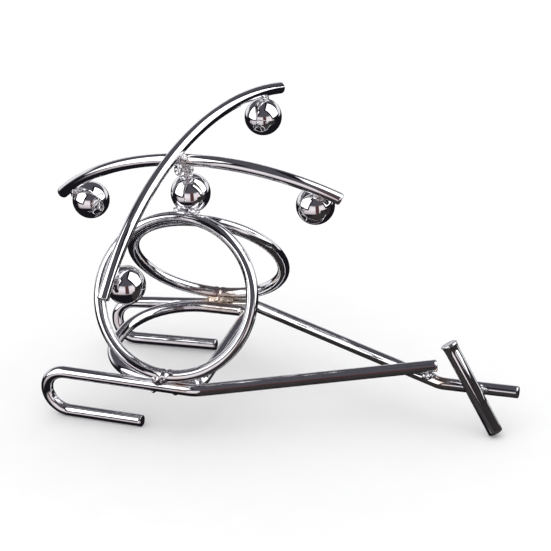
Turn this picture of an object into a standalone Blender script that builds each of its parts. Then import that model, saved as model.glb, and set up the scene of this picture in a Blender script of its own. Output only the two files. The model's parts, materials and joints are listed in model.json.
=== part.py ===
"""Wire helicopter puzzle: a welded frame of bent steel wire, and a rotor that turns on its hub ball.

Run with: blender --background --python part.py
Blender units are metres. +X runs from the nose to the tail, +Y to the far side and +Z up.
"""
import math

import bmesh
import bpy
from mathutils import Matrix, Vector

MM = 0.001

# ---- driving dimensions, in millimetres ----
WIRE_R = 1.75             # all the bent wire, 3.5 mm across
TAIL_BAR_R = 2.1          # the straight rod at the tail is thicker
TIP_BALL_R = 5.5
HUB_BALL_R = 5.7
GAP = 0.3                 # left between pieces that touch
SIDES = 12                # flats round a wire
FLAT_R = WIRE_R * math.cos(math.pi / SIDES)   # from a wire's middle to one of its flats
REACH = 2 * WIRE_R + 0.25                     # between the middles of two wires that touch

ORIGIN_X, ORIGIN_Y = 30.23, 1.43   # middle of the footprint, moved to the origin at the end

# Skids: the two legs of each lie one above the other and toe in towards the nose.
LEG_Y = 24.95             # upper leg's distance from the middle plane, at x = 0
LEG_TOE = 0.045           # how fast the legs spread towards the tail
LEG_SPLAY = 0.8           # the lower leg stands this much further in
NEAR_NOSE, NEAR_FREE_END, NEAR_KINK = -34.2, -4.6, 12.8
FAR_NOSE, FAR_FREE_END, FAR_KINK = -30.5, 1.2, 13.5
NEAR_LEG_Z = 14.75        # height of the upper leg at x = 0
FAR_LEG_Z = 15.35
FAR_LEG_RISE = 0.063      # the far upper leg climbs towards the tail
KINK_R = 9.0
NEAR_BOOM_END = (76.4, 1.5, 15.95)
FAR_BOOM_BEND = (78.0, -1.1, 11.8)
FAR_STUB_END = (100.5, -0.6, 11.45)
STUB_BEND_R = 7.0

# Cabin: two rings that stand on the upper legs and lean together, and a loop between the legs.
RING_R = 22.45            # to the middle of the wire
NEAR_RING_X, NEAR_RING_LEAN, NEAR_RING_YAW = 5.45, 27.9, 3.4
FAR_RING_X, FAR_RING_LEAN, FAR_RING_YAW = 4.3, 35.4, 4.1
LOOP_CORNERS = ((12.7, -21.1), (-21.2, -21.1), (-18.6, 21.1), (13.7, 21.1))
LOOP_BENDS = (3.2, 19.6, 19.6, 3.2)
LOOP_Z, LOOP_TILT = 15.2, 0.05

# Tail rotor bar, a rod across the near side of the stub.
TAIL_BAR_TOP = (81.0, -2.9, 25.9)
TAIL_BAR_FOOT = (95.2, -6.6, 1.08)

# Rotor: two drooping arcs of wire that cross above the hub ball.
HUB = (5.35, 1.65, 63.35)
CROSSING = (4.2, -1.45, 76.35)
ROTOR_TILT = 18.2         # the dome of the blades leans to the near side
UPPER_BLADE = dict(turn=74.6, arc=85.0, fore=50.0, aft=50.2, shift=-1.3, lean=11.2, level=1)
LOWER_BLADE = dict(turn=-2.1, arc=70.3, fore=47.5, aft=49.5, shift=-8.4, lean=-8.9, level=-1)
TIP_STATIONS = {
    "upper_blade_far_ball": (UPPER_BLADE, 40.9),
    "upper_blade_near_ball": (UPPER_BLADE, -43.4),
    "lower_blade_tail_ball": (LOWER_BLADE, 42.0),
    "lower_blade_nose_ball": (LOWER_BLADE, -44.5),
}
PIN_R = 1.2               # the mast pin's shank, in the hub ball's blind hole
PIN_CLEARANCE = 0.07
PIN_DEPTH = 3.6           # how far the pin's foot is from the ball's middle, below it
NECK_R, COLLAR_R, COLLAR_H = 1.5, 2.5, 1.7

# ---- finishes: base colour, roughness ----
WIRE_FINISH = ((0.80, 0.81, 0.84), 0.07)
BALL_FINISH = ((0.84, 0.85, 0.88), 0.03)
WELD_FINISH = ((0.66, 0.66, 0.68), 0.30)
TINT_FINISH = ((0.50, 0.38, 0.32), 0.35)


def clear_scene():
    for obj in list(bpy.data.objects):
        bpy.data.objects.remove(obj, do_unlink=True)


def make_collection(name):
    coll = bpy.data.collections.new(name)
    bpy.context.scene.collection.children.link(coll)
    return coll


def v(point):
    return Vector(point)


def bent_path(corners, bends, closed=False, step=15.0):
    """Points along a wire bent at each corner to the given radius, in arcs of about step degrees."""
    count = len(corners)
    points = []
    for i in range(count):
        here = v(corners[i])
        if not closed and i in (0, count - 1):
            points.append(here)
            continue
        back = (v(corners[i - 1]) - here).normalized()
        ahead = (v(corners[(i + 1) % count]) - here).normalized()
        opening = back.angle(ahead)
        turn = math.pi - opening
        to_tangent = bends[i] / math.tan(opening / 2)
        middle = here + (back + ahead).normalized() * bends[i] / math.sin(opening / 2)
        start = here + back * to_tangent - middle
        end = here + ahead * to_tangent - middle
        parts = max(2, round(math.degrees(turn) / step))
        for k in range(parts + 1):
            angle = turn * k / parts
            arm = start * math.sin(turn - angle) + end * math.sin(angle)
            points.append(middle + arm / math.sin(turn))
    return points


def tube_mesh(name, points, radius, closed):
    """A round wire along the points, as a closed mesh with flat cut ends."""
    curve = bpy.data.curves.new(name, "CURVE")
    curve.dimensions = "3D"
    curve.twist_mode = "MINIMUM"
    curve.bevel_depth = radius * MM
    curve.bevel_resolution = SIDES // 2 - 2
    curve.use_fill_caps = not closed
    spline = curve.splines.new("POLY")
    spline.points.add(len(points) - 1)
    for knot, point in zip(spline.points, points):
        knot.co = (point.x * MM, point.y * MM, point.z * MM, 1.0)
        knot.tilt = math.pi / SIDES           # turns a flat to the underside
    spline.use_cyclic_u = closed
    holder = bpy.data.objects.new(name, curve)
    mesh = bpy.data.meshes.new_from_object(holder)
    mesh.name = name
    bpy.data.objects.remove(holder)
    bpy.data.curves.remove(curve)
    bm = bmesh.new()
    bm.from_mesh(mesh)
    bmesh.ops.remove_doubles(bm, verts=bm.verts, dist=1e-6)
    bmesh.ops.recalc_face_normals(bm, faces=bm.faces)
    bm.to_mesh(mesh)
    bm.free()
    return mesh


def shade_smooth(mesh):
    for face in mesh.polygons:
        face.use_smooth = len(face.vertices) <= 4


def material(name, finish):
    mat = bpy.data.materials.new(name)
    mat.use_nodes = True
    shader = mat.node_tree.nodes["Principled BSDF"]
    shader.inputs["Base Color"].default_value = (*finish[0], 1.0)
    shader.inputs["Metallic"].default_value = 1.0
    shader.inputs["Roughness"].default_value = finish[1]
    return mat


def add_part(name, mesh, finish, coll):
    obj = bpy.data.objects.new(name, mesh)
    mesh.materials.clear()
    mesh.materials.append(material(name, finish))
    shade_smooth(mesh)
    coll.objects.link(obj)
    return obj


def add_cutter(name, mesh, coll):
    obj = bpy.data.objects.new("cut_" + name, mesh)
    obj.hide_render = True
    obj.display_type = "WIRE"
    coll.objects.link(obj)
    return obj


def sphere_mesh(name, centre, radius, rings=12):
    mesh = bpy.data.meshes.new(name)
    bm = bmesh.new()
    bmesh.ops.create_uvsphere(bm, u_segments=2 * rings, v_segments=rings, radius=radius * MM)
    bmesh.ops.translate(bm, vec=v(centre) * MM, verts=bm.verts)
    bm.to_mesh(mesh)
    bm.free()
    return mesh


def upright(axis):
    """The rotation that turns +Z to the axis."""
    return Vector((0, 0, 1)).rotation_difference(axis).to_matrix().to_4x4()


def turned_mesh(name, foot, axis, profile, sides=24):
    """A solid of revolution: profile is (height, radius) from the foot, along the axis."""
    mesh = bpy.data.meshes.new(name)
    bm = bmesh.new()
    loops = []
    for height, radius in profile:
        loops.append([bm.verts.new((radius * math.cos(a), radius * math.sin(a), height))
                      for a in (2 * math.pi * k / sides for k in range(sides))])
    for low, high in zip(loops, loops[1:]):
        for k in range(sides):
            n = (k + 1) % sides
            bm.faces.new((low[k], low[n], high[n], high[k]))
    bm.faces.new(reversed(loops[0]))
    bm.faces.new(loops[-1])
    bm.transform(Matrix.Scale(MM, 4) @ Matrix.Translation(v(foot)) @ upright(axis))
    bm.to_mesh(mesh)
    bm.free()
    return mesh


def leg_point(side, x, z, inset=0.0):
    """A point on a leg: side is -1 for the near skid, 1 for the far one."""
    return Vector((x, side * (LEG_Y + LEG_TOE * x - inset), z))


def near_leg(x):
    return leg_point(-1, x, NEAR_LEG_Z)


def far_leg(x):
    return leg_point(1, x, FAR_LEG_Z + FAR_LEG_RISE * x)


def skid_path(side, nose, free_end, kink, upper, tail_points, tail_bends):
    """A skid's wire, from the lower leg's free end round the nose to the tail."""
    top_z = upper(nose).z
    lower_end = leg_point(side, free_end, FLAT_R, LEG_SPLAY)
    lower_nose = leg_point(side, nose, FLAT_R, LEG_SPLAY)
    bend = (top_z - FLAT_R) / 2 - 0.02
    corners = [lower_end, lower_nose, upper(nose), upper(kink), *map(v, tail_points)]
    return bent_path(corners, [0, bend, bend, KINK_R, *tail_bends, 0])


def ring_path(side, foot, lean, yaw, parts=36):
    """A round ring that stands on the foot point and leans to the middle plane."""
    lean, yaw = math.radians(lean), math.radians(yaw)
    along = Vector((math.cos(yaw), math.sin(yaw), 0))
    inward = Vector((-math.sin(yaw), math.cos(yaw), 0)) * -side
    up = Vector((0, 0, math.cos(lean))) + inward * math.sin(lean)
    middle = foot + Vector((0, 0, REACH)) + up * RING_R
    angles = [2 * math.pi * k / parts for k in range(parts)]
    return [middle + (along * math.cos(a) + up * math.sin(a)) * RING_R for a in angles]


def rotor_axes():
    """The dome's own axis, and the two directions across it."""
    tilt = math.radians(ROTOR_TILT)
    up = Vector((0, -math.sin(tilt), math.cos(tilt)))
    across = Vector((1, 0, 0))
    return up, across, up.cross(across)


def blade_point(blade, station, below=0.0):
    """A point on a blade: station is measured along it from the crossing, below towards the cabin."""
    up, across, side = rotor_axes()
    turn, lean = math.radians(blade["turn"]), math.radians(blade["lean"])
    ahead = across * math.cos(turn) + side * math.sin(turn)
    dome = up * math.cos(lean) + up.cross(ahead) * math.sin(lean)
    arc = blade["arc"]
    at_cross = blade["shift"] / arc
    here = (station + blade["shift"]) / arc
    level = blade["level"] * (WIRE_R + GAP / 2)
    base = v(CROSSING) + up * level - (ahead * math.sin(at_cross) + dome * math.cos(at_cross)) * arc
    return base + (ahead * math.sin(here) + dome * math.cos(here)) * (arc - below)


def blade_path(blade, parts=20):
    start, end = -blade["aft"], blade["fore"]
    return [blade_point(blade, start + (end - start) * k / parts) for k in range(parts + 1)]


def bead_mesh(name, centre, half, along=(1, 0, 0), up=(0, 0, 1)):
    """An ellipsoid bead with half sizes along, across and up."""
    x_axis = v(along).normalized()
    z_axis = (v(up) - v(up).project(x_axis)).normalized()
    y_axis = z_axis.cross(x_axis)
    turn = Matrix((x_axis, y_axis, z_axis)).transposed().to_4x4()
    mesh = bpy.data.meshes.new(name)
    bm = bmesh.new()
    bmesh.ops.create_icosphere(bm, subdivisions=2, radius=1.0)
    size = Matrix.Diagonal((*half, 1.0))
    bm.transform(Matrix.Scale(MM, 4) @ Matrix.Translation(v(centre)) @ turn @ size)
    bm.to_mesh(mesh)
    bm.free()
    return mesh


def cut(obj, cutters):
    for cutter in cutters:
        mod = obj.modifiers.new("clear of " + cutter.name, "BOOLEAN")
        mod.operation = "DIFFERENCE"
        mod.solver = "EXACT"
        mod.object = cutter


def main():
    clear_scene()
    parts = make_collection("wire_helicopter_puzzle")
    tools = make_collection("cutters")
    cutters = {}

    # Wires and rods: name, path, radius, closed.
    near_ring_foot, far_ring_foot = near_leg(NEAR_RING_X), far_leg(FAR_RING_X)
    loop_corners = [(x, y, LOOP_Z + LOOP_TILT * y) for x, y in LOOP_CORNERS]
    wires = {
        "near_skid": (skid_path(-1, NEAR_NOSE, NEAR_FREE_END, NEAR_KINK, near_leg, [NEAR_BOOM_END], []),
                      WIRE_R, False),
        "far_skid": (skid_path(1, FAR_NOSE, FAR_FREE_END, FAR_KINK, far_leg,
                               [FAR_BOOM_BEND, FAR_STUB_END], [STUB_BEND_R]), WIRE_R, False),
        "near_ring": (ring_path(-1, near_ring_foot, NEAR_RING_LEAN, NEAR_RING_YAW), WIRE_R, True),
        "far_ring": (ring_path(1, far_ring_foot, FAR_RING_LEAN, FAR_RING_YAW), WIRE_R, True),
        "floor_loop": (bent_path(loop_corners, LOOP_BENDS, closed=True), WIRE_R, True),
        "tail_rotor_bar": ([v(TAIL_BAR_TOP), v(TAIL_BAR_FOOT)], TAIL_BAR_R, False),
        "upper_blade": (blade_path(UPPER_BLADE), WIRE_R, False),
        "lower_blade": (blade_path(LOWER_BLADE), WIRE_R, False),
    }
    for name, (path, radius, closed) in wires.items():
        add_part(name, tube_mesh(name, path, radius, closed), WIRE_FINISH, parts)
        cutters[name] = add_cutter(name, tube_mesh("cut_" + name, path, radius + GAP, closed), tools)

    # Balls.
    balls = {name: (blade_point(blade, at, WIRE_R + GAP + TIP_BALL_R), TIP_BALL_R)
             for name, (blade, at) in TIP_STATIONS.items()}
    balls["hub_ball"] = (v(HUB), HUB_BALL_R)
    for name, (centre, radius) in balls.items():
        add_part(name, sphere_mesh(name, centre, radius), BALL_FINISH, parts)
        cutters[name] = add_cutter(name, sphere_mesh("cut_" + name, centre, radius + GAP), tools)

    # Mast pin, and its blind hole in the hub ball.
    mast = (v(CROSSING) - v(HUB)).normalized()
    top = (v(CROSSING) - v(HUB)).length - 2 * WIRE_R - GAP * 1.5 - 0.2
    foot = v(HUB) - mast * PIN_DEPTH
    neck = HUB_BALL_R + GAP + PIN_DEPTH
    head = top + PIN_DEPTH
    profile = [(0, PIN_R), (neck, PIN_R), (neck + 0.3, NECK_R), (head - COLLAR_H - 0.4, NECK_R),
               (head - COLLAR_H, COLLAR_R), (head - 0.5, COLLAR_R), (head, COLLAR_R - 0.7)]
    add_part("mast_pin", turned_mesh("mast_pin", foot, mast, profile), WIRE_FINISH, parts)
    hole_foot = foot - mast * GAP
    hole = turned_mesh("cut_bore", hole_foot, mast, [(0, PIN_R + PIN_CLEARANCE), (14, PIN_R + PIN_CLEARANCE)])
    cut(parts.objects["hub_ball"], [add_cutter("bore", hole, tools)])
    grown = [(h, r + GAP) for h, r in profile]
    cutters["mast_pin"] = add_cutter("mast_pin", turned_mesh("cut_mast_pin", foot, mast, grown), tools)

    # Weld beads: place, half sizes, the line that they run along, finish, and what they are clear of.
    add_welds(parts, cutters, near_ring_foot, far_ring_foot, balls)

    for obj in [*parts.objects, *tools.objects]:
        obj.data.transform(Matrix.Translation(Vector((-ORIGIN_X, -ORIGIN_Y, 0)) * MM))
    for name in (*TIP_STATIONS, "hub_ball"):
        set_origin(parts.objects[name], balls[name][0] - Vector((ORIGIN_X, ORIGIN_Y, 0)))
    tip_welds = [name + "_weld" for name in TIP_STATIONS]
    for name in ("mast_pin", "upper_blade", "lower_blade", "blade_weld", *tip_welds):
        set_origin(parts.objects[name], v(HUB) - Vector((ORIGIN_X, ORIGIN_Y, 0)))


def set_origin(obj, place):
    """Moves the object's origin to a place, given in millimetres, without moving its mesh."""
    obj.data.transform(Matrix.Translation(-place * MM))
    obj.matrix_world = Matrix.Translation(place * MM)


def add_welds(parts, cutters, near_ring_foot, far_ring_foot, balls):
    def bead(name, centre, half, along, up, finish, clear_of):
        obj = add_part(name, bead_mesh(name, centre, half, along, up), finish, parts)
        cut(obj, [cutters[n] for n in clear_of])

    x_line = (1, 0, 0)
    half_reach = Vector((0, 0, REACH / 2))
    outside = Vector((0, -1.9, 0))
    bead("near_ring_weld", near_ring_foot + half_reach + outside, (3.6, 1.3, 1.5), x_line, (0, 0, 1),
         WELD_FINISH, ("near_ring", "near_skid"))
    bead("far_ring_weld", far_ring_foot + half_reach + outside, (4.6, 1.3, 1.5), x_line, (0, 0, 1),
         TINT_FINISH, ("far_ring", "far_skid", "floor_loop"))

    # The floor loop's beads lie in the groove under the loop and the leg.
    for name, leg, x, y, half in (("floor_near_front_weld", near_leg, 0.5, -21.1, 1.4),
                                  ("floor_near_rear_weld", near_leg, 7.0, -21.1, 2.0),
                                  ("floor_far_weld", far_leg, 6.5, 21.1, 2.2)):
        on_loop = Vector((x, y, LOOP_Z + LOOP_TILT * y))
        between = (on_loop + leg(x)) / 2
        groove = (leg(x) - on_loop).cross(Vector((1, 0, 0))).normalized()
        if groove.z > 0:
            groove.negate()
        side = "near_skid" if y < 0 else "far_skid"
        bead(name, between + groove * 1.7, (half, 1.3, 1.2), x_line, (0, 0, 1), WELD_FINISH,
             (side, "floor_loop"))

    # The two tail struts cross, and the tail bar is welded across the stub.
    boom_end, bend = v(NEAR_BOOM_END), v(FAR_BOOM_BEND)
    crossing = (boom_end + bend) / 2 + Vector((-3.4, -0.6, 0))
    bead("boom_weld", crossing + Vector((3.6, 0.0, 0.0)), (2.4, 1.5, 1.5), x_line, (0, 0, 1),
         WELD_FINISH, ("near_skid", "far_skid"))
    rod = (v(TAIL_BAR_FOOT) - v(TAIL_BAR_TOP)).normalized()
    stub = (v(FAR_STUB_END) - bend).normalized()
    at_stub = v(TAIL_BAR_TOP) + rod * ((bend.z - 0.15 - TAIL_BAR_TOP[2]) / rod.z)
    bead("tail_bar_weld", at_stub + Vector((2.6, 2.2, -0.8)), (1.9, 1.3, 1.7), stub, (0, 0, 1),
         WELD_FINISH, ("tail_rotor_bar", "far_skid"))

    # The hub ball's seat: a bead at each side of the place where it touches the near ring.
    ball, radius = balls["hub_ball"]
    ring_top = near_ring_foot + Vector((0, 0, REACH)) + Vector(
        (0, math.sin(math.radians(NEAR_RING_LEAN)), math.cos(math.radians(NEAR_RING_LEAN)))) * 2 * RING_R
    touch = ball + (Vector((ball.x, ring_top.y, ring_top.z)) - ball).normalized() * (radius + GAP / 2)
    for name, way in (("hub_seat_nose_weld", -1), ("hub_seat_tail_weld", 1)):
        bead(name, touch + Vector((way * 2.8, 0, 0)), (1.7, 1.3, 1.3), x_line, (0, 0, 1), WELD_FINISH,
             ("hub_ball", "near_ring", "far_ring"))

    # The blades' crossing, and a bead between each tip ball and its blade.
    up, across, side = rotor_axes()
    corner = math.radians((UPPER_BLADE["turn"] + LOWER_BLADE["turn"]) / 2 - 90)
    out = across * math.cos(corner) + side * math.sin(corner)
    bead("blade_weld", v(CROSSING) + out * 2.9, (1.7, 1.7, 1.7), out, up, WELD_FINISH,
         ("upper_blade", "lower_blade", "mast_pin"))
    for name, (blade, at) in TIP_STATIONS.items():
        place = blade_point(blade, at, WIRE_R + GAP / 2)
        line = (blade_point(blade, at + 1) - blade_point(blade, at - 1)).normalized()
        below = (blade_point(blade, at, 1.0) - blade_point(blade, at)).normalized()
        across_blade = line.cross(below) * (1 if line.cross(below).y < 0 else -1)
        blade_name = "upper_blade" if blade is UPPER_BLADE else "lower_blade"
        bead(name + "_weld", place + across_blade * 1.75, (1.8, 1.1, 1.1), line, below, WELD_FINISH,
             (name, blade_name))


main()
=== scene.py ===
"""Looks of the wire helicopter puzzle: fine wires, balls and weld beads, all in plated steel.

Lengths are in millimetres until a mesh is made. +X runs from the nose to the tail, +Y to the far side.
"""
import json
import math
import random

import bmesh
import bpy
import numpy as np
from mathutils import Matrix, Vector, noise


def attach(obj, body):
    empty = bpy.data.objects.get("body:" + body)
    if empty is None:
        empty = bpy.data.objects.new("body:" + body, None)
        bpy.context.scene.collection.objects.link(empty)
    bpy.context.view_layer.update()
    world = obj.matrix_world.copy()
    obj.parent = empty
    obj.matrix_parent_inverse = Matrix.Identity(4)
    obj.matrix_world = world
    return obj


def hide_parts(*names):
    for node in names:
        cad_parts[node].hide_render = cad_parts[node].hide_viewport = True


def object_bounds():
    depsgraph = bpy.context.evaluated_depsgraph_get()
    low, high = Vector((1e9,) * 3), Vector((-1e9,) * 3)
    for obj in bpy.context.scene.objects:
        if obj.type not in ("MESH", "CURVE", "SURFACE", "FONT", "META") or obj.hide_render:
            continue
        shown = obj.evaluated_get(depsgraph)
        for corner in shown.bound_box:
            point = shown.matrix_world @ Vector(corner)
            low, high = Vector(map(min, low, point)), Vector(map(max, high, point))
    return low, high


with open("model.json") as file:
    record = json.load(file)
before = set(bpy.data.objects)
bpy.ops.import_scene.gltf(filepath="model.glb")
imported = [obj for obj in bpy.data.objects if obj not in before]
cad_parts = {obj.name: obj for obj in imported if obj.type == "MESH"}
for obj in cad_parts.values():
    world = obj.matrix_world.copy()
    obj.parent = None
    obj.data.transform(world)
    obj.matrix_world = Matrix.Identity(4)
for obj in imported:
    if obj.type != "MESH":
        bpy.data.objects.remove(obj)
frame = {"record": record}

CAD_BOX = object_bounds()
MM = 0.001

# ---- driving dimensions, the same as the frame's ----
WIRE_R = 1.75
TAIL_BAR_R = 2.1
TIP_BALL_R = 5.5
HUB_BALL_R = 5.7
GAP = 0.3
FRAME_SIDES = 12
FLAT_R = WIRE_R * math.cos(math.pi / FRAME_SIDES)   # how high a wire's middle is when it lies on a flat
REACH = 2 * WIRE_R + 0.25
ORIGIN = Vector((30.23, 1.43, 0))

LEG_Y, LEG_TOE, LEG_SPLAY = 24.95, 0.045, 0.8
NEAR_NOSE, NEAR_FREE_END, NEAR_KINK = -34.2, -4.6, 12.8
FAR_NOSE, FAR_FREE_END, FAR_KINK = -30.5, 1.2, 13.5
NEAR_LEG_Z, FAR_LEG_Z, FAR_LEG_RISE = 14.75, 15.35, 0.063
KINK_R, STUB_BEND_R = 9.0, 7.0
NEAR_BOOM_END = (76.4, 1.5, 15.95)
FAR_BOOM_BEND = (78.0, -1.1, 11.8)
FAR_STUB_END = (100.5, -0.6, 11.45)

RING_R = 22.45
NEAR_RING_X, NEAR_RING_LEAN, NEAR_RING_YAW = 5.45, 27.9, 3.4
FAR_RING_X, FAR_RING_LEAN, FAR_RING_YAW = 4.3, 35.4, 4.1
LOOP_CORNERS = ((12.7, -21.1), (-21.2, -21.1), (-18.6, 21.1), (13.7, 21.1))
LOOP_BENDS = (3.2, 19.6, 19.6, 3.2)
LOOP_Z, LOOP_TILT = 15.2, 0.05
TAIL_BAR_TOP = (81.0, -2.9, 25.9)
TAIL_BAR_FOOT = (95.2, -6.6, 1.08)

HUB = Vector((5.35, 1.65, 63.35))
CROSSING = Vector((4.2, -1.45, 76.35))
ROTOR_TILT = 18.2
UPPER_BLADE = dict(turn=74.6, arc=85.0, fore=50.0, aft=50.2, shift=-1.3, lean=11.2, level=1)
LOWER_BLADE = dict(turn=-2.1, arc=70.3, fore=47.5, aft=49.5, shift=-8.4, lean=-8.9, level=-1)
TIP_STATIONS = {
    "upper_blade_far_ball": (UPPER_BLADE, 40.9),
    "upper_blade_near_ball": (UPPER_BLADE, -43.4),
    "lower_blade_tail_ball": (LOWER_BLADE, 42.0),
    "lower_blade_nose_ball": (LOWER_BLADE, -44.5),
}
PIN_R, PIN_CLEARANCE, PIN_DEPTH = 1.2, 0.07, 3.6

# ---- the mast's weld, a little fuller than in the frame ----
COLLAR_R, COLLAR_H = 2.6, 1.9
NECK_R, NECK_RIPPLE = 1.75, 0.16

# ---- fineness and finish of the meshes ----
WIRE_SIDES = 40
ARC_STEP = 3.0            # degrees between two points in a bend
LONGEST_STEP = 0.9        # millimetres along a wire
CHAMFER = 0.28            # on a cut end
CHAMFER_RUN = 0.8         # its length along the wire, as a share of its depth
TAIL_BAR_FLARE = 0.4      # how far the shears spread the bar's top end
FLARE_RUN = 2.6           # how far that spread reaches along the wire
SEAM_LIP, SEAM_GROOVE = 0.16, 0.22   # a butt weld's height and depth on a closed wire
RIPPLE = 0.010            # how uneven the drawn wire is, in millimetres
BALL_RIPPLE = 0.006
BALL_FLAT = 0.985         # where a ball is flattened under its weld, as a share of its radius
BEAD_KNOBS, BEAD_ROUGH = 7, 0.16
KNOB_BLEND = 6            # how sharply a bead's knobs run together
MAST_LUMPS = 0.5

# ---- the black card by the tail: degrees round the tail bar, and millimetres ----
CARD_FROM, CARD_TO, CARD_STEP_AT, CARD_STEPS = -110.0, 135.0, 22.0, 49
CARD_HOLE, CARD_R, CARD_LEAN = 8.0, 75.0, 3.0
CARD_LIFT, CARD_LOW, CARD_HIGH = 0.2, 13.0, 43.0

# ---- camera ----
VIEW_AZIMUTH, VIEW_ELEVATION, VIEW_ROLL = 19.1, 26.6, -3.15
VIEW_DISTANCE = 581.5
VIEW_TARGET = (0.52, 2.61, 30)
VIEW_RIGHT, VIEW_UP = -2.46, 7.61   # the target's offset in the picture's plane
LENS = 131.6


# ---------------------------------------------------------------- paths

def bent_path(corners, bends, closed=False):
    """Points along a wire bent at each corner to the given radius."""
    count = len(corners)
    points = []
    for i in range(count):
        here = Vector(corners[i])
        if not closed and i in (0, count - 1):
            points.append(here)
            continue
        back = (Vector(corners[i - 1]) - here).normalized()
        ahead = (Vector(corners[(i + 1) % count]) - here).normalized()
        opening = back.angle(ahead)
        turn = math.pi - opening
        to_tangent = bends[i] / math.tan(opening / 2)
        middle = here + (back + ahead).normalized() * bends[i] / math.sin(opening / 2)
        start = here + back * to_tangent - middle
        end = here + ahead * to_tangent - middle
        parts = max(2, round(math.degrees(turn) / ARC_STEP))
        for k in range(parts + 1):
            angle = turn * k / parts
            arm = start * math.sin(turn - angle) + end * math.sin(angle)
            points.append(middle + arm / math.sin(turn))
    return points


def stepped(points, closed):
    """The same path with points added, so that no step is longer than LONGEST_STEP."""
    ends = points[1:] + points[:1] if closed else points[1:]
    out = []
    for a, b in zip(points, ends):
        parts = max(1, math.ceil((b - a).length / LONGEST_STEP))
        out.extend(a.lerp(b, k / parts) for k in range(parts))
    if not closed:
        out.append(points[-1])
    return out


def leg_point(side, x, z, inset=0.0):
    return Vector((x, side * (LEG_Y + LEG_TOE * x - inset), z))


def near_leg(x):
    return leg_point(-1, x, NEAR_LEG_Z)


def far_leg(x):
    return leg_point(1, x, FAR_LEG_Z + FAR_LEG_RISE * x)


def skid_path(side, nose, free_end, kink, upper, tail_points, tail_bends):
    """A skid's wire, from the lower leg's free end round the nose to the tail."""
    lower_end = leg_point(side, free_end, FLAT_R, LEG_SPLAY)
    lower_nose = leg_point(side, nose, FLAT_R, LEG_SPLAY)
    bend = (upper(nose).z - FLAT_R) / 2 - 0.02
    corners = [lower_end, lower_nose, upper(nose), upper(kink), *map(Vector, tail_points)]
    return bent_path(corners, [0, bend, bend, KINK_R, *tail_bends, 0])


def ring_path(side, foot, lean, yaw):
    """A round ring that stands on the foot point and leans to the middle plane."""
    lean, yaw = math.radians(lean), math.radians(yaw)
    along = Vector((math.cos(yaw), math.sin(yaw), 0))
    inward = Vector((-math.sin(yaw), math.cos(yaw), 0)) * -side
    up = Vector((0, 0, math.cos(lean))) + inward * math.sin(lean)
    middle = foot + Vector((0, 0, REACH)) + up * RING_R
    turns = [math.radians(ARC_STEP * k) for k in range(round(360 / ARC_STEP))]
    return [middle + (along * math.cos(a) + up * math.sin(a)) * RING_R for a in turns]


def rotor_axes():
    """The dome's own axis, and the two directions across it."""
    tilt = math.radians(ROTOR_TILT)
    up = Vector((0, -math.sin(tilt), math.cos(tilt)))
    across = Vector((1, 0, 0))
    return up, across, up.cross(across)


def blade_point(blade, station, below=0.0):
    """A point on a blade: station is measured along it from the crossing, below towards the cabin."""
    up, across, side = rotor_axes()
    turn, lean = math.radians(blade["turn"]), math.radians(blade["lean"])
    ahead = across * math.cos(turn) + side * math.sin(turn)
    dome = up * math.cos(lean) + up.cross(ahead) * math.sin(lean)
    arc = blade["arc"]
    at_cross = blade["shift"] / arc
    here = (station + blade["shift"]) / arc
    level = blade["level"] * (WIRE_R + GAP / 2)
    base = CROSSING + up * level - (ahead * math.sin(at_cross) + dome * math.cos(at_cross)) * arc
    return base + (ahead * math.sin(here) + dome * math.cos(here)) * (arc - below)


def blade_path(blade):
    start, end = -blade["aft"], blade["fore"]
    parts = round((end - start) / LONGEST_STEP)
    return [blade_point(blade, start + (end - start) * k / parts) for k in range(parts + 1)]


# ---------------------------------------------------------------- meshes

def finished_mesh(name, verts, faces, caps=()):
    """A mesh from points in millimetres: kept inside the CAD model's box, smooth, faces pointing out."""
    mesh = bpy.data.meshes.new(name)
    low, high = (np.array(corner) for corner in CAD_BOX)
    places = (np.array(verts, float) - np.array(ORIGIN)) * MM
    mesh.from_pydata(np.clip(places, low + 1e-6, high - 1e-6).tolist(), [], faces)
    bm = bmesh.new()
    bm.from_mesh(mesh)
    bmesh.ops.recalc_face_normals(bm, faces=bm.faces)
    bm.to_mesh(mesh)
    bm.free()
    mesh.shade_smooth()
    for face in caps:
        mesh.polygons[face].material_index = 1
    return mesh


def transported(points, closed):
    """Tangents, and two directions across that turn as little as they can along the path."""
    path = np.array(points)
    ahead = np.roll(path, -1, axis=0) - np.roll(path, 1, axis=0)
    if not closed:
        ahead[0], ahead[-1] = path[1] - path[0], path[-1] - path[-2]
    tangents = ahead / np.linalg.norm(ahead, axis=1)[:, None]
    first = np.cross(tangents[0], (0.0, 0.0, 1.0) if abs(tangents[0][2]) < 0.9 else (1.0, 0.0, 0.0))
    normals = [first / np.linalg.norm(first)]
    for tangent in tangents[1:]:
        normal = normals[-1] - tangent * (normals[-1] @ tangent)
        normals.append(normal / np.linalg.norm(normal))
    normals = np.array(normals)
    if closed:   # the little twist that is left is shared out along the loop
        last = normals[-1] - tangents[0] * (normals[-1] @ tangents[0])
        side = np.cross(tangents[0], normals[0])
        twist = math.atan2(last @ side, last @ normals[0])
        turn = -twist * np.arange(len(path)) / len(path)
        normals = (normals * np.cos(turn)[:, None]
                   + np.cross(tangents, normals) * np.sin(turn)[:, None])
    return path, tangents, normals, np.cross(tangents, normals)


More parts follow.
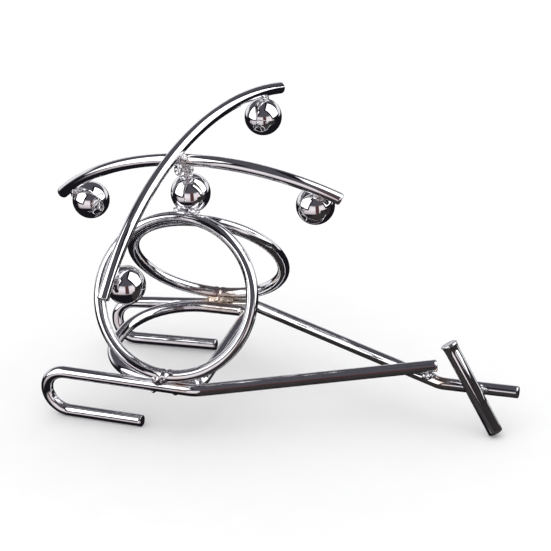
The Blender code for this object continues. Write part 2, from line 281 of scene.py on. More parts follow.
def wire_rows(points, radius, closed):
    """A wire's rows: middle, two directions across, radius, place along it. Cut ends are chamfered."""
    path, tangents, normals, sides = transported(stepped(points, closed), closed)
    steps = np.linalg.norm(np.diff(path, axis=0), axis=1)
    along = np.concatenate([[0], np.cumsum(steps)])
    rows = [(path[k], normals[k], sides[k], radius, along[k]) for k in range(len(path))]
    if closed:
        return rows
    first, last = rows[0], rows[-1]
    inset = CHAMFER * CHAMFER_RUN
    rows[0] = (first[0] + tangents[0] * inset, *first[1:])
    rows[-1] = (last[0] - tangents[-1] * inset, *last[1:])
    sizes = (0.3 * radius, 0.7 * radius, radius - CHAMFER)
    start = [(*first[:3], size, first[4]) for size in sizes]
    end = [(*last[:3], size, last[4]) for size in reversed(sizes)]
    return start + rows + end


def seam_swell(off):
    """How proud a butt weld stands, off millimetres from its middle: two lips and a groove."""
    lips = SEAM_LIP * math.exp(-((abs(off) - 1.0) / 0.55) ** 2)
    return lips - SEAM_GROOVE * math.exp(-(off / 0.28) ** 2)


def wire_mesh(name, points, radius, closed, seam=None, flare=0.0):
    """A drawn wire along a path: slightly uneven, with sawn ends, or closed with a butt seam.

    seam is the seam's place as a share of the wire, and flare is how far the first end is spread."""
    rows = wire_rows(points, radius, closed)
    count, total = len(rows), rows[-1][4]
    verts = []
    for middle, normal, side, size, at in rows:
        size *= 1 + flare / radius * max(0.0, 1 - at / FLARE_RUN) ** 2
        swell = 0.0
        if seam is not None:
            swell = seam_swell((at / total - seam + 0.5) % 1.0 * total - total / 2)
        for j in range(WIRE_SIDES):
            angle = 2 * math.pi * j / WIRE_SIDES
            out = normal * math.cos(angle) + side * math.sin(angle)
            place = middle + out * size
            uneven = noise.noise(Vector(place * 0.45)) + 0.6 * noise.noise(Vector(place * 1.3))
            lump = swell * (1 + 0.8 * noise.noise(Vector(place * 1.6))) if swell else 0.0
            verts.append(place + out * (RIPPLE * uneven + lump))
    faces, caps = [], []
    for k in range(count if closed else count - 1):
        here, there = k * WIRE_SIDES, (k + 1) % count * WIRE_SIDES
        for j in range(WIRE_SIDES):
            n = (j + 1) % WIRE_SIDES
            if not closed and (k < 2 or k >= count - 3):
                caps.append(len(faces))
            faces.append((here + j, here + n, there + n, there + j))
    if not closed:
        for row, order in ((0, -1), (count - 1, 1)):
            hub = len(verts)
            verts.append(rows[row][0])
            for j in range(WIRE_SIDES):
                caps.append(len(faces))
                edge = (row * WIRE_SIDES + j, row * WIRE_SIDES + (j + 1) % WIRE_SIDES)
                faces.append((*edge[::order], hub))
    mesh = finished_mesh(name, verts, faces, caps)
    add_run_map(mesh, [row[4] for row in rows])
    return mesh


def add_run_map(mesh, stations):
    """A UV map named run, off the sawn ends: millimetres along the wire, and the share of a turn."""
    run = mesh.uv_layers.new(name="run").data
    whole = stations[-1] + stations[1] - stations[0]
    for face in mesh.polygons:
        if face.material_index:
            continue
        places = [divmod(vertex, WIRE_SIDES) for vertex in face.vertices]
        rows, turns = zip(*places)
        over_end = max(rows) - min(rows) > 1
        over_turn = max(turns) - min(turns) > 1
        for loop, (row, turn) in zip(face.loop_indices, places):
            at = whole if over_end and row == 0 else stations[row]
            share = 1.0 if over_turn and turn == 0 else turn / WIRE_SIDES
            run[loop].uv = (at, share)


def turned_mesh(name, foot, axis, profile, sides=72, lumps=None):
    """A solid of revolution: profile is (height, radius) from the foot, from pole to pole.

    lumps(height) gives how far the surface is raised or pitted there."""
    turn = Vector((0, 0, 1)).rotation_difference(axis).to_matrix()
    verts, faces = [], []
    for height, radius in profile[1:-1]:
        for k in range(sides):
            angle = 2 * math.pi * k / sides
            out = Vector((math.cos(angle), math.sin(angle), 0))
            place = turn @ (out * radius + Vector((0, 0, height))) + foot
            if lumps:
                rough = noise.fractal(place * 1.7, 0.6, 2.2, 3)
                place = place + turn @ out * lumps(height) * rough
            verts.append(place)
    rows = len(profile) - 2
    for r in range(rows - 1):
        for k in range(sides):
            n = (k + 1) % sides
            faces.append((r * sides + k, r * sides + n, (r + 1) * sides + n, (r + 1) * sides + k))
    for row, height, order in ((0, profile[0][0], -1), (rows - 1, profile[-1][0], 1)):
        pole = len(verts)
        verts.append(turn @ Vector((0, 0, height)) + foot)
        for k in range(sides):
            edge = (row * sides + k, row * sides + (k + 1) % sides)
            faces.append((*edge[::order], pole))
    return finished_mesh(name, verts, faces)


def round_directions(fineness):
    """Points spread evenly over a ball of radius 1, and the triangles between them."""
    bm = bmesh.new()
    bmesh.ops.create_icosphere(bm, subdivisions=fineness, radius=1.0)
    bm.verts.index_update()
    points = [v.co.copy() for v in bm.verts]
    faces = [tuple(v.index for v in f.verts) for f in bm.faces]
    bm.free()
    return points, faces


def ball_mesh(name, centre, radius, weld_side):
    """A steel ball: barely uneven, with a small flat where it is welded."""
    points, faces = round_directions(6)
    flat = radius * BALL_FLAT
    verts = []
    for way in points:
        size = radius + BALL_RIPPLE * noise.noise(way * radius * 0.5)
        reach = way.dot(weld_side) * size
        place = way * size
        if reach > flat:
            place -= weld_side * (reach - flat)
        verts.append(centre + place)
    return finished_mesh(name, verts, faces)


def bead_mesh(name, centre, half, along, up, seed):
    """A weld bead: run-together knobs, pitted and rippled, of half sizes along, across and up."""
    draw = random.Random(seed)
    lobes = [(Vector([draw.uniform(-0.52, 0.52) for _ in range(3)]), draw.uniform(0.42, 0.6))
             for _ in range(BEAD_KNOBS)]
    lobes.append((Vector((0, 0, 0)), 0.72))
    x_axis = Vector(along).normalized()
    z_axis = (Vector(up) - Vector(up).project(x_axis)).normalized()
    turn = Matrix((x_axis, z_axis.cross(x_axis), z_axis)).transposed()
    points, faces = round_directions(5)
    shift = Vector([draw.uniform(-50, 50) for _ in range(3)])
    verts = []
    for way in points:
        reach = 0.0
        for middle, size in lobes:
            beside = way.dot(middle)
            inside = beside * beside - middle.length_squared + size * size
            if inside > 0:
                reach += max(0.0, beside + math.sqrt(inside)) ** KNOB_BLEND
        reach = min(reach, 3.0) ** (1 / KNOB_BLEND)
        place = Vector([c * h for c, h in zip(way * reach, half)])
        knob = noise.fractal(place * 1.1 + shift, 0.7, 2.1, 4)
        place += way * BEAD_ROUGH * min(half) * knob
        verts.append(centre + turn @ place)
    return finished_mesh(name, verts, faces)


# ---------------------------------------------------------------- shader node groups

def add_node(tree, kind, **settings):
    node = tree.nodes.new(kind)
    for key, value in settings.items():
        setattr(node, key, value)
    return node


def feed(tree, node, **values):
    """Sets or links a node's inputs, by name with _ for a space, or by number as i0, i1 and so on."""
    for key, value in values.items():
        numbered = key[0] == "i" and key[1:].isdigit()
        socket = node.inputs[int(key[1:]) if numbered else key.replace("_", " ")]
        if isinstance(value, bpy.types.NodeSocket):
            tree.links.new(value, socket)
        else:
            socket.default_value = value
    return node


def calc(tree, operation, a, b=0.0, c=0.0, clamp=False):
    node = add_node(tree, "ShaderNodeMath", operation=operation, use_clamp=clamp)
    return feed(tree, node, i0=a, i1=b, i2=c).outputs[0]


def dot(tree, a, b):
    node = add_node(tree, "ShaderNodeVectorMath", operation="DOT_PRODUCT")
    return feed(tree, node, i0=a, i1=b).outputs["Value"]


def blend_colour(tree, share, a, b, mode="MIX"):
    node = add_node(tree, "ShaderNodeMix", data_type="RGBA", blend_type=mode)
    return feed(tree, node, i0=share, i6=a, i7=b).outputs[2]


def step_between(tree, value, low, high):
    node = add_node(tree, "ShaderNodeMapRange", interpolation_type="SMOOTHSTEP")
    return feed(tree, node, Value=value, From_Min=low, From_Max=high).outputs["Result"]


def noise_of(tree, vector, scale, detail=2.0, roughness=0.5, distortion=0.0):
    node = add_node(tree, "ShaderNodeTexNoise")
    feed(tree, node, Vector=vector, Scale=scale, Detail=detail, Roughness=roughness, Distortion=distortion)
    return node.outputs["Fac"]


def start_group(name, inputs, outputs):
    """A new node group with named sockets: returns the tree, its inputs' sockets and its output node."""
    tree = bpy.data.node_groups.new(name, "ShaderNodeTree")
    for label, (kind, value) in inputs.items():
        socket = tree.interface.new_socket(label, in_out="INPUT", socket_type="NodeSocket" + kind)
        if value is not None:
            socket.default_value = value
    for label, kind in outputs.items():
        tree.interface.new_socket(label, in_out="OUTPUT", socket_type="NodeSocket" + kind)
    taken = tree.nodes.new("NodeGroupInput").outputs
    return tree, taken, tree.nodes.new("NodeGroupOutput")


def use_group(tree, group, **values):
    node = add_node(tree, "ShaderNodeGroup", node_tree=group)
    return feed(tree, node, **values).outputs


def make_plating():
    """Plated steel close up: soft ripple, fine pits and rubbed patches."""
    tree, given, result = start_group(
        "plating", {"Place": ("Vector", None), "Ripple": ("Float", 1.0), "Pits": ("Float", 1.0)},
        {"Height": "Float", "Wear": "Float"})
    ripple = noise_of(tree, given["Place"], 260.0, 2.0)
    fine = noise_of(tree, given["Place"], 1500.0, 2.0)
    cells = add_node(tree, "ShaderNodeTexVoronoi", feature="F1")
    feed(tree, cells, Vector=given["Place"], Scale=900.0)
    sparse = step_between(tree, noise_of(tree, given["Place"], 420.0, 1.0), 0.60, 0.68)
    pit = calc(tree, "MULTIPLY", step_between(tree, cells.outputs["Distance"], 0.30, 0.12), sparse)
    pit = calc(tree, "MULTIPLY", pit, given["Pits"])
    height = calc(tree, "MULTIPLY", ripple, given["Ripple"])
    height = calc(tree, "MULTIPLY_ADD", fine, 0.12, height)
    height = calc(tree, "MULTIPLY_ADD", pit, -0.5, height)
    rubbed = step_between(tree, noise_of(tree, given["Place"], 170.0, 3.0, 0.6), 0.5, 0.75)
    wear = calc(tree, "MAXIMUM", calc(tree, "MULTIPLY", rubbed, 0.6), pit)
    feed(tree, result, Height=height, Wear=wear)
    return tree


def make_drawn_lines():
    """Fine lines along a drawn wire, from the wire's own run and turn coordinates."""
    tree, given, result = start_group(
        "drawn_lines", {"Run": ("Vector", None), "Fineness": ("Float", 8.0)}, {"Lines": "Float"})
    split = feed(tree, add_node(tree, "ShaderNodeSeparateXYZ"), i0=given["Run"])
    turn = calc(tree, "MULTIPLY", split.outputs["Y"], 2 * math.pi)
    rounded = add_node(tree, "ShaderNodeCombineXYZ")
    feed(tree, rounded, X=calc(tree, "MULTIPLY", split.outputs["X"], 0.015),
         Y=calc(tree, "COSINE", turn), Z=calc(tree, "SINE", turn))
    lines = noise_of(tree, rounded.outputs[0], given["Fineness"], 4.0, 0.7)
    feed(tree, result, Lines=lines)
    return tree


def make_heat_tint():
    """Straw and brown temper colours round a welded spot, broken up at their edge."""
    tree, given, result = start_group(
        "heat_tint",
        {"Place": ("Vector", None), "Spot": ("Vector", None), "Reach": ("Float", 0.006),
         "Colour": ("Color", (1, 1, 1, 1)), "Strength": ("Float", 1.0)},
        {"Colour": "Color", "Heat": "Float"})
    away = add_node(tree, "ShaderNodeVectorMath", operation="DISTANCE")
    feed(tree, away, i0=given["Place"], i1=given["Spot"])
    share = calc(tree, "DIVIDE", away.outputs["Value"], given["Reach"])
    ragged = calc(tree, "MULTIPLY_ADD", noise_of(tree, given["Place"], 420.0, 3.0), 0.9, -0.45)
    share = calc(tree, "ADD", share, ragged)
    straw = calc(tree, "MULTIPLY", step_between(tree, share, 1.0, 0.5), given["Strength"])
    brown = calc(tree, "MULTIPLY", step_between(tree, share, 0.55, 0.15), given["Strength"])
    colour = blend_colour(tree, straw, given["Colour"], (0.86, 0.79, 0.73, 1))
    colour = blend_colour(tree, brown, colour, (0.48, 0.35, 0.30, 1))
    feed(tree, result, Colour=colour, Heat=straw)
    return tree


def make_softbox():
    """A studio softbox seen from the object: facing, across and rise are its own three directions."""
    tree, given, result = start_group(
        "softbox",
        {"Way": ("Vector", None), "Facing": ("Vector", None), "Across": ("Vector", None),
         "Rise": ("Vector", None), "Half Width": ("Float", 0.5), "Half Height": ("Float", 0.5),
         "Edge": ("Float", 0.04)},
        {"Lit": "Float"})
    ahead = dot(tree, given["Way"], given["Facing"])
    depth = calc(tree, "MAXIMUM", ahead, 0.001)
    lit = step_between(tree, ahead, 0.0, 0.02)
    for line, half in (("Across", "Half Width"), ("Rise", "Half Height")):
        off = calc(tree, "ABSOLUTE", calc(tree, "DIVIDE", dot(tree, given["Way"], given[line]), depth))
        over = calc(tree, "SUBTRACT", off, given[half])
        outside = calc(tree, "DIVIDE", over, given["Edge"])
        lit = calc(tree, "MULTIPLY", lit, step_between(tree, outside, 1.0, 0.0))
    feed(tree, result, Lit=lit)
    return tree


PLATING = make_plating()
DRAWN_LINES = make_drawn_lines()
HEAT_TINT = make_heat_tint()
SOFTBOX = make_softbox()


# ---------------------------------------------------------------- materials

def start_material(name, roughness, colour):
    mat = bpy.data.materials.new(name)
    mat.use_nodes = True
    tree = mat.node_tree
    shader = tree.nodes["Principled BSDF"]
    feed(tree, shader, Metallic=1.0, Roughness=roughness, Base_Color=(*colour, 1))
    place = tree.nodes.new("ShaderNodeTexCoord").outputs["Object"]
    return mat, tree, shader, place


def raise_surface(tree, shader, height, distance):
    bump = add_node(tree, "ShaderNodeBump")
    feed(tree, bump, Height=height, Distance=distance)
    tree.links.new(bump.outputs["Normal"], shader.inputs["Normal"])


def weld_spots():
    """Where the heat of welding coloured the wire: place, reach in millimetres, strength."""
    near_foot, far_foot = near_leg(NEAR_RING_X), far_leg(FAR_RING_X)
    lift = Vector((0, 0, REACH / 2))
    return ((far_foot + lift + Vector((-0.5, -1.5, 0.5)), 10.5, 0.75),
            (near_foot + lift + Vector((3.0, -1.0, 0.5)), 4.0, 0.45),
            (Vector(FAR_BOOM_BEND) + Vector((0.5, 0, 1.5)), 5.0, 0.75),
            (CROSSING + Vector((1.5, -1.5, -1.0)), 3.4, 0.7))


def chrome_wire_material():
    mat, tree, shader, place = start_material("chrome_wire", 0.06, (0.80, 0.81, 0.84))
    plate = use_group(tree, PLATING, Place=place, Ripple=1.0, Pits=0.6)
    colour = blend_colour(tree, plate["Wear"], (0.86, 0.865, 0.885, 1), (0.70, 0.69, 0.71, 1))
    heat = 0.0
    for spot, reach, strength in weld_spots():
        tint = use_group(tree, HEAT_TINT, Place=place, Spot=(spot - ORIGIN) * MM, Reach=reach * MM,
                         Colour=colour, Strength=strength)
        colour = tint["Colour"]
        heat = calc(tree, "MAXIMUM", tint["Heat"], heat)
    dull = calc(tree, "MULTIPLY_ADD", plate["Wear"], 0.07, 0.035)
    dull = calc(tree, "MULTIPLY_ADD", heat, 0.10, dull)
    feed(tree, shader, Base_Color=colour, Roughness=dull)
    run = add_node(tree, "ShaderNodeUVMap", uv_map="run").outputs["UV"]
    lines = use_group(tree, DRAWN_LINES, Run=run, Fineness=8.0)["Lines"]
    raise_surface(tree, shader, calc(tree, "MULTIPLY_ADD", lines, 0.25, plate["Height"]), 0.000012)
    return mat


def chrome_ball_material():
    mat, tree, shader, place = start_material("chrome_ball", 0.03, (0.86, 0.87, 0.89))
    plate = use_group(tree, PLATING, Place=place, Ripple=0.6, Pits=0.35)
    colour = blend_colour(tree, plate["Wear"], (0.90, 0.90, 0.915, 1), (0.78, 0.77, 0.79, 1))
    feed(tree, shader, Base_Color=colour, Roughness=calc(tree, "MULTIPLY_ADD", plate["Wear"], 0.05, 0.015))
    raise_surface(tree, shader, plate["Height"], 0.000008)
    return mat


def bead_material(name, bright, dark, dullness):
    """A weld bead under its plating: knobbly, with its low places darkened, partly weld soot and partly
    painted shade.
    """
    mat, tree, shader, place = start_material(name, dullness, bright)
    plate = use_group(tree, PLATING, Place=place, Ripple=1.5, Pits=1.0)
    knobs = noise_of(tree, place, 900.0, 3.0, 0.6)
    # painted shade: the hollows between the knobs are darkened in the colour, partly soot and partly shade
    # where light would not reach
    soot_and_shade = step_between(tree, knobs, 0.47, 0.33)
    colour = blend_colour(tree, soot_and_shade, (*bright, 1), (*dark, 1))
    feed(tree, shader, Base_Color=colour, Roughness=calc(tree, "MULTIPLY_ADD", soot_and_shade, 0.25, dullness))
    raise_surface(tree, shader, calc(tree, "MULTIPLY_ADD", knobs, 1.6, plate["Height"]), 0.00018)
    return mat


def sawn_end_material():
    """The cut face of a wire: saw lines under the plating."""
    mat, tree, shader, place = start_material("sawn_end", 0.2, (0.74, 0.74, 0.76))
    scratch = add_node(tree, "ShaderNodeVectorMath", operation="MULTIPLY")
    feed(tree, scratch, i0=place, i1=(1.0, 0.25, 6.0))
    saw = noise_of(tree, scratch.outputs[0], 700.0, 3.0, 0.6)
    colour = blend_colour(tree, saw, (0.58, 0.57, 0.60, 1), (0.88, 0.88, 0.90, 1))
    feed(tree, shader, Base_Color=colour, Roughness=calc(tree, "MULTIPLY_ADD", saw, 0.15, 0.12))
    raise_surface(tree, shader, saw, 0.00005)
    return mat


MATERIALS = {
    "chrome_wire": chrome_wire_material(),
    "chrome_ball": chrome_ball_material(),
    "weld_bead": bead_material("weld_bead", (0.84, 0.84, 0.86), (0.16, 0.14, 0.14), 0.10),
    "tinted_weld": bead_material("tinted_weld", (0.80, 0.70, 0.60), (0.20, 0.10, 0.08), 0.16),
}
SAWN_END = sawn_end_material()
BODY_OF = {node: body for body, nodes in frame["record"]["behaviour"]["bodies"].items() for node in nodes}
SLOT_OF = {part["node"]: part["material_slot"] for part in frame["record"]["subparts"]}


def place_piece(node, mesh):
    """Puts a finished mesh in the scene, in place of its CAD node and on the same body."""
    piece = bpy.data.objects.new(mesh.name, mesh)
    bpy.context.scene.collection.objects.link(piece)
    mesh.materials.append(MATERIALS[SLOT_OF[node]])
    if any(face.material_index for face in mesh.polygons):
        mesh.materials.append(SAWN_END)
    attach(piece, BODY_OF[node])
    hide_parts(node)
    return piece


# ---------------------------------------------------------------- the pieces

def make_wires():
    loop_corners = [(x, y, LOOP_Z + LOOP_TILT * y) for x, y in LOOP_CORNERS]
    near = skid_path(-1, NEAR_NOSE, NEAR_FREE_END, NEAR_KINK, near_leg, [NEAR_BOOM_END], [])
    far = skid_path(1, FAR_NOSE, FAR_FREE_END, FAR_KINK, far_leg,
                    [FAR_BOOM_BEND, FAR_STUB_END], [STUB_BEND_R])
    near_ring = ring_path(-1, near_leg(NEAR_RING_X), NEAR_RING_LEAN, NEAR_RING_YAW)
    far_ring = ring_path(1, far_leg(FAR_RING_X), FAR_RING_LEAN, FAR_RING_YAW)
    bar = [Vector(TAIL_BAR_TOP), Vector(TAIL_BAR_FOOT)]
    # node, path, radius, closed, and where along a closed wire its butt seam is
    for node, path, radius, closed, seam in (
            ("near_skid", near, WIRE_R, False, None),
            ("far_skid", far, WIRE_R, False, None),
            ("near_ring", near_ring, WIRE_R, True, 0.746),
            ("far_ring", far_ring, WIRE_R, True, 0.745),
            ("floor_loop", bent_path(loop_corners, LOOP_BENDS, closed=True), WIRE_R, True, 0.02),
            ("tail_rotor_bar", bar, TAIL_BAR_R, False, None),
            ("upper_blade", blade_path(UPPER_BLADE), WIRE_R, False, None),
            ("lower_blade", blade_path(LOWER_BLADE), WIRE_R, False, None)):
        flare = TAIL_BAR_FLARE if node == "tail_rotor_bar" else 0.0
        place_piece(node, wire_mesh(node + "_wire", path, radius, closed, seam, flare))


def make_tip_balls():
    for name, (blade, station) in TIP_STATIONS.items():
        centre = blade_point(blade, station, WIRE_R + GAP + TIP_BALL_R)
        weld_side = (blade_point(blade, station) - centre).normalized()
        place_piece(name, ball_mesh(name + "_plated", centre, TIP_BALL_R, weld_side))


def make_hub():
    """The hub ball with its blind hole, and the lumpy mast pin that turns in it."""
    mast = (CROSSING - HUB).normalized()
    hole_r, hole_depth = PIN_R + PIN_CLEARANCE, PIN_DEPTH + GAP
    rim = math.asin((hole_r + 0.12) / HUB_BALL_R)
    around = [math.pi - (math.pi - rim) * k / 90 for k in range(91)]
    profile = [(math.cos(a) * HUB_BALL_R, math.sin(a) * HUB_BALL_R) for a in around]
    lip = profile[-1][0] - 0.12
    profile += [(lip - 0.02 * k, hole_r) for k in range(2)] + [(-hole_depth, hole_r), (-hole_depth, 0)]
    place_piece("hub_ball", turned_mesh("hub_ball_plated", HUB, mast, profile, sides=144))

    top = (CROSSING - HUB).length - 2 * WIRE_R - GAP - 0.05
    collar_foot = top - COLLAR_H
    seat = HUB_BALL_R + 0.12
    heights = [seat + (top - seat) * k / 40 for k in range(41)]

    def girth(height):
        """The neck's and the collar's radius: two run-together rings of weld."""
        if height < collar_foot:
            return NECK_R + NECK_RIPPLE * math.sin((height - seat) * 5.2)
        share = (height - collar_foot) / COLLAR_H
        return NECK_R + (COLLAR_R - NECK_R) * math.sin(math.pi * min(1.0, share * 0.5 + 0.32)) ** 0.6

    profile = [(-PIN_DEPTH, 0), (-PIN_DEPTH, PIN_R - 0.15), (-PIN_DEPTH + 0.15, PIN_R), (seat - 0.1, PIN_R)]
    profile += [(h, girth(h)) for h in heights]
    profile += [(top + 0.2, COLLAR_R - 0.7), (top + 0.35, 0)]

    def lumps(height):
        return 0.0 if height < seat + 0.15 else MAST_LUMPS

    place_piece("mast_pin", turned_mesh("mast_pin_turned", HUB, mast, profile, 96, lumps))


def make_frame_beads():
    """The beads on the frame: node, place, half sizes, the line that they run along."""
    x_line, z_line = Vector((1, 0, 0)), Vector((0, 0, 1))
    lift = Vector((0, 0, REACH / 2))
    near_foot, far_foot = near_leg(NEAR_RING_X) + lift, far_leg(FAR_RING_X) + lift
    jobs = [("near_ring_weld", near_foot + Vector((-2.2, -0.6, 1.2)), (3.4, 2.0, 2.0), x_line),
            ("far_ring_weld", far_foot + Vector((-0.2, -0.9, 0.1)), (4.6, 2.1, 1.9), x_line)]
    for name, leg, x, y, half in (("floor_near_front_weld", near_leg, 0.5, -21.1, 1.5),
                                  ("floor_near_rear_weld", near_leg, 7.0, -21.1, 2.1),
                                  ("floor_far_weld", far_leg, 6.5, 21.1, 2.3)):
        on_loop = Vector((x, y, LOOP_Z + LOOP_TILT * y))
        groove = (leg(x) - on_loop).cross(x_line).normalized()
        if groove.z > 0:
            groove.negate()
        outward = Vector((0, -0.5, 0)) if leg is near_leg else Vector((0, 0, 0))
        place = (on_loop + leg(x)) / 2 + groove * 1.2 + outward
        jobs.append((name, place, (half, 1.6, 1.5), x_line))
    boom_end, bend = Vector(NEAR_BOOM_END), Vector(FAR_BOOM_BEND)
    jobs.append(("boom_weld", (boom_end + bend) / 2 + Vector((-2.2, -0.8, -0.4)), (2.3, 1.3, 1.3), x_line))
    rod = (Vector(TAIL_BAR_FOOT) - Vector(TAIL_BAR_TOP)).normalized()
    stub = (Vector(FAR_STUB_END) - bend).normalized()
    at_stub = Vector(TAIL_BAR_TOP) + rod * ((bend.z - 0.15 - TAIL_BAR_TOP[2]) / rod.z)
    jobs.append(("tail_bar_weld", at_stub + Vector((0.7, 2.0, 0.3)), (1.9, 1.5, 1.8), stub))
    lean = math.radians(NEAR_RING_LEAN)
    ring_top = near_foot + lift + Vector((0, math.sin(lean), math.cos(lean))) * 2 * RING_R
    way = (Vector((HUB.x, ring_top.y, ring_top.z)) - HUB).normalized()
    touch = HUB + way * (HUB_BALL_R + GAP / 2)
    for name, side in (("hub_seat_nose_weld", -1), ("hub_seat_tail_weld", 1)):
        jobs.append((name, touch + Vector((side * 2.2, 0.5, -0.2)), (2.0, 1.2, 1.1), x_line))
    for seed, (name, place, half, line) in enumerate(jobs):
        place_piece(name, bead_mesh(name + "_bead", place, half, line, z_line, seed + 11))


def make_rotor_beads():
    up, across, side = rotor_axes()
    corner = math.radians((UPPER_BLADE["turn"] + LOWER_BLADE["turn"]) / 2 - 90)
    out = across * math.cos(corner) + side * math.sin(corner)
    place_piece("blade_weld", bead_mesh("blade_weld_bead", CROSSING + out * 1.7 - up * 0.3,
                                        (2.3, 1.9, 2.1), out, up, 31))
    for seed, (name, (blade, station)) in enumerate(TIP_STATIONS.items()):
        place = blade_point(blade, station, WIRE_R + GAP / 2)
        line = (blade_point(blade, station + 1) - blade_point(blade, station - 1)).normalized()
        below = (blade_point(blade, station, 1.0) - blade_point(blade, station)).normalized()
        outward = line.cross(below) * (1 if line.cross(below).y < 0 else -1)
        place_piece(name + "_weld", bead_mesh(name + "_weld_bead", place + outward * 0.7,
                                              (2.0, 1.5, 0.95), line, below, 41 + seed))


# ---------------------------------------------------------------- the studio

def heading(azimuth, elevation):
    """A direction from the object: azimuth from the near side towards the tail, in degrees."""
    a, e = math.radians(azimuth), math.radians(elevation)
    return Vector((math.sin(a) * math.cos(e), -math.cos(a) * math.cos(e), math.sin(e)))


def make_floor():
    bpy.ops.mesh.primitive_grid_add(x_subdivisions=8, y_subdivisions=8, size=6)
    floor = bpy.context.object
    floor.name = "floor"
    mat = bpy.data.materials.new("pale_floor")
    mat.use_nodes = True
    tree = mat.node_tree
    place = tree.nodes.new("ShaderNodeTexCoord").outputs["Object"]
    paper = noise_of(tree, place, 90.0, 4.0)
    feed(tree, tree.nodes["Principled BSDF"], Roughness=0.9,
         Base_Color=blend_colour(tree, paper, (0.90, 0.90, 0.905, 1), (0.93, 0.93, 0.93, 1)))
    floor.data.materials.append(mat)
    floor.visible_glossy = False      # the plated steel is lit by the softboxes alone


def make_black_card():
    """A black card round the tail that only reflections see: it keeps the bar and the struts dark."""
    foot = (Vector(TAIL_BAR_TOP) + Vector(TAIL_BAR_FOOT)) / 2
    foot.z = 0
    verts, faces = [], []
    for step in range(CARD_STEPS + 1):
        azimuth = CARD_FROM + (CARD_TO - CARD_FROM) * step / CARD_STEPS
        height = CARD_LOW if azimuth < CARD_STEP_AT else CARD_HIGH
        for out, rise in ((CARD_HOLE, CARD_LIFT), (CARD_R, CARD_LIFT), (CARD_R + CARD_LEAN, height)):
            verts.append((foot + heading(azimuth, 0) * out + Vector((0, 0, rise)) - ORIGIN) * MM)
    for step in range(CARD_STEPS):
        for row in (0, 1):
            here = step * 3 + row
            faces.append((here, here + 1, here + 4, here + 3))
    mesh = bpy.data.meshes.new("black_card")
    mesh.from_pydata(verts, [], faces)
    card = bpy.data.objects.new("black_card", mesh)
    bpy.context.scene.collection.objects.link(card)
    mat = bpy.data.materials.new("black_card")
    mat.use_nodes = True
    tree = mat.node_tree
    grain = noise_of(tree, tree.nodes.new("ShaderNodeTexCoord").outputs["Object"], 300.0, 3.0)
    feed(tree, tree.nodes["Principled BSDF"], Roughness=0.9,
         Base_Color=blend_colour(tree, grain, (0.012, 0.009, 0.009, 1), (0.03, 0.022, 0.022, 1)))
    mesh.materials.append(mat)
    card.visible_camera = card.visible_diffuse = card.visible_shadow = False
    card.visible_transmission = False


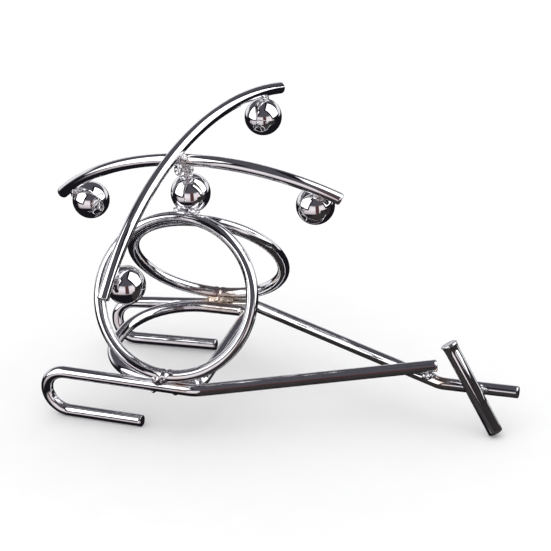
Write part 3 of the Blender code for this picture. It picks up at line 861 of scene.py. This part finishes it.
def make_studio():
    world = bpy.data.worlds.new("studio")
    bpy.context.scene.world = world
    world.use_nodes = True
    tree = world.node_tree
    way = tree.nodes.new("ShaderNodeTexCoord").outputs["Generated"]
    unit = add_node(tree, "ShaderNodeVectorMath", operation="NORMALIZE")
    way = feed(tree, unit, i0=way).outputs[0]
    height = dot(tree, way, (0, 0, 1))
    share = calc(tree, "MULTIPLY_ADD", height, 0.5, 0.5)

    def ramp(stops):
        node = add_node(tree, "ShaderNodeValToRGB")
        feed(tree, node, Fac=share)
        stones = node.color_ramp.elements
        for k, (at, colour) in enumerate(stops):
            stone = stones[k] if k < 2 else stones.new(at)
            stone.position, stone.color = at, (*colour, 1)
        return node.outputs["Color"]

    black, dusk = (0.010, 0.009, 0.012), (0.085, 0.080, 0.095)
    back = ramp([(0.0, black), (0.40, black), (0.425, (0.85, 0.85, 0.88)), (0.60, (0.90, 0.90, 0.93)),
                 (0.645, dusk), (1.0, dusk)])
    side = ramp([(0.0, black), (0.44, black), (0.50, dusk), (1.0, dusk)])
    front = ramp([(0.0, black), (0.22, black), (0.28, (0.62, 0.55, 0.57)), (0.50, (0.95, 0.88, 0.90)),
                  (0.62, (0.82, 0.78, 0.82)), (0.68, dusk), (1.0, dusk)])
    ahead = step_between(tree, dot(tree, way, heading(10, 0)), 0.15, 0.45)
    behind = step_between(tree, dot(tree, way, heading(195, 0)), 0.30, 0.55)
    colour = blend_colour(tree, ahead, blend_colour(tree, behind, side, back), front)
    rise = Vector((0, 0, 1))
    # softboxes: azimuth, elevation, half width, half height, brightness
    for azimuth, elevation, wide, high, light in ((-54, 27, 0.50, 0.52, 2.0), (104, 36, 0.52, 0.66, 2.0)):
        facing = heading(azimuth, elevation)
        across = rise.cross(facing).normalized()
        frame_of = dict(Way=way, Facing=facing, Across=across, Rise=facing.cross(across))
        surround = use_group(tree, SOFTBOX, **frame_of, Half_Width=wide * 1.42, Half_Height=high * 1.40)
        colour = blend_colour(tree, surround["Lit"], colour, (*black, 1))
        lit = use_group(tree, SOFTBOX, **frame_of, Half_Width=wide, Half_Height=high)
        colour = blend_colour(tree, lit["Lit"], colour, (light, light, light * 1.01, 1))
    # the dark shape of whoever stands before the object
    facing = heading(27, -4)
    across = rise.cross(facing).normalized()
    stand = use_group(tree, SOFTBOX, Way=way, Facing=facing, Across=across, Rise=facing.cross(across),
                      Half_Width=0.13, Half_Height=0.40, Edge=0.10)
    colour = blend_colour(tree, stand["Lit"], colour, (0.09, 0.04, 0.04, 1))

    rays = tree.nodes.new("ShaderNodeLightPath").outputs
    seen = tree.nodes["Background"]
    feed(tree, seen, Color=colour, Strength=1.0)
    plain = feed(tree, add_node(tree, "ShaderNodeBackground"), Color=(1, 1, 1, 1), Strength=1.14)
    pick = feed(tree, add_node(tree, "ShaderNodeMixShader"), i0=rays["Is Glossy Ray"],
                i1=plain.outputs[0], i2=seen.outputs[0])
    tree.links.new(pick.outputs[0], tree.nodes["World Output"].inputs["Surface"])

    view = bpy.context.scene.view_settings
    view.view_transform = "Standard"
    view.look = "None"


def make_camera():
    toward = heading(VIEW_AZIMUTH, VIEW_ELEVATION)
    right = Vector((0, 0, 1)).cross(toward).normalized()
    up = toward.cross(right)
    roll = math.radians(VIEW_ROLL)
    right, up = (right * math.cos(roll) + up * math.sin(roll),
                 up * math.cos(roll) - right * math.sin(roll))
    target = Vector(VIEW_TARGET) + right * VIEW_RIGHT + up * VIEW_UP
    camera = bpy.data.objects.new("camera", bpy.data.cameras.new("camera"))
    bpy.context.scene.collection.objects.link(camera)
    camera.data.lens = LENS
    camera.data.sensor_width = 36.0
    camera.data.clip_start, camera.data.clip_end = 0.01, 20.0
    turn = Matrix((right, up, toward)).transposed().to_4x4()
    camera.matrix_world = Matrix.Translation((target + toward * VIEW_DISTANCE) * MM) @ turn
    bpy.context.scene.camera = camera


make_wires()
make_tip_balls()
make_hub()
make_frame_beads()
make_rotor_beads()
make_floor()
make_black_card()
make_studio()
make_camera()
